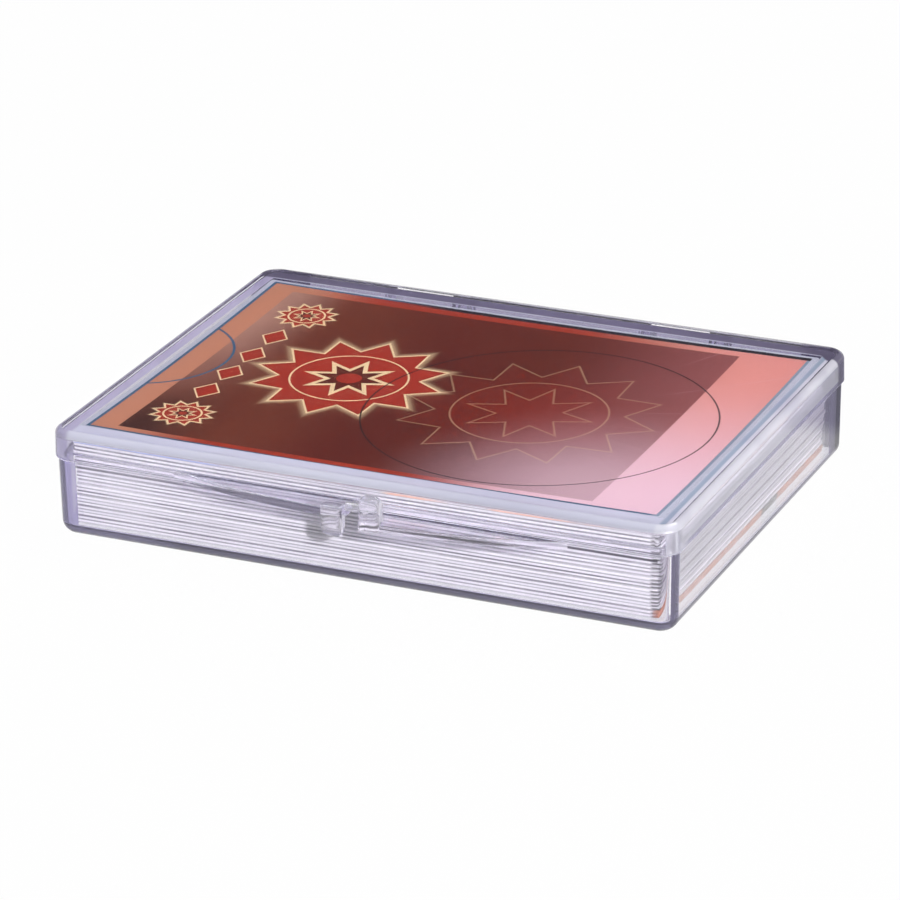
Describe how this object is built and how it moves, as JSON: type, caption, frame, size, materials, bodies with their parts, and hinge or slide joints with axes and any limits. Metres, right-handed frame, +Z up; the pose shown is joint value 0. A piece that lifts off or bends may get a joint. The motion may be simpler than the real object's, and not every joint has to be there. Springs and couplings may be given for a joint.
{
  "type": "trading card storage case",
  "caption": "Clear moulded case with a hinged lid and a front tab latch, holding a full stack of trading cards.",
  "frame": {"origin": "middle of the flat face that the case stands on", "axes": "+X along the long side to the right seen from the front, +Y to the hinges at the back, +Z up"},
  "size_m": [0.095, 0.0807, 0.0162],
  "materials": {
    "clear_case": "clear polystyrene, polished, faint lavender-grey tint",
    "card_stock": "uncoated white board edges with satin faces",
    "printed_card": "glossy print in dark red-brown with an orange and pink border"
  },
  "bodies": {
    "case_base": {"base_tray": "clear_case", "card_01": "card_stock", "card_02": "card_stock", "card_03": "card_stock", "card_04": "card_stock", "card_05": "card_stock", "card_06": "card_stock", "card_07": "card_stock", "card_08": "card_stock", "card_09": "card_stock", "card_10": "card_stock", "card_11": "card_stock", "card_12": "card_stock", "card_13": "card_stock", "card_14": "card_stock", "card_15": "card_stock", "card_16": "card_stock", "card_17": "card_stock", "card_18": "card_stock", "card_19": "card_stock", "card_20": "card_stock", "card_21": "card_stock", "card_22": "card_stock", "card_23": "card_stock", "top_card": "printed_card"},
    "case_lid": {"hinged_lid": "clear_case"}
  },
  "joints": [
    {"name": "lid_hinge", "type": "hinge", "parent": "case_base", "child": "case_lid", "pos_m": [0, 0.0381, 0.01171], "axis": [-1, 0, 0], "range_deg": [0, 180]}
  ]
}
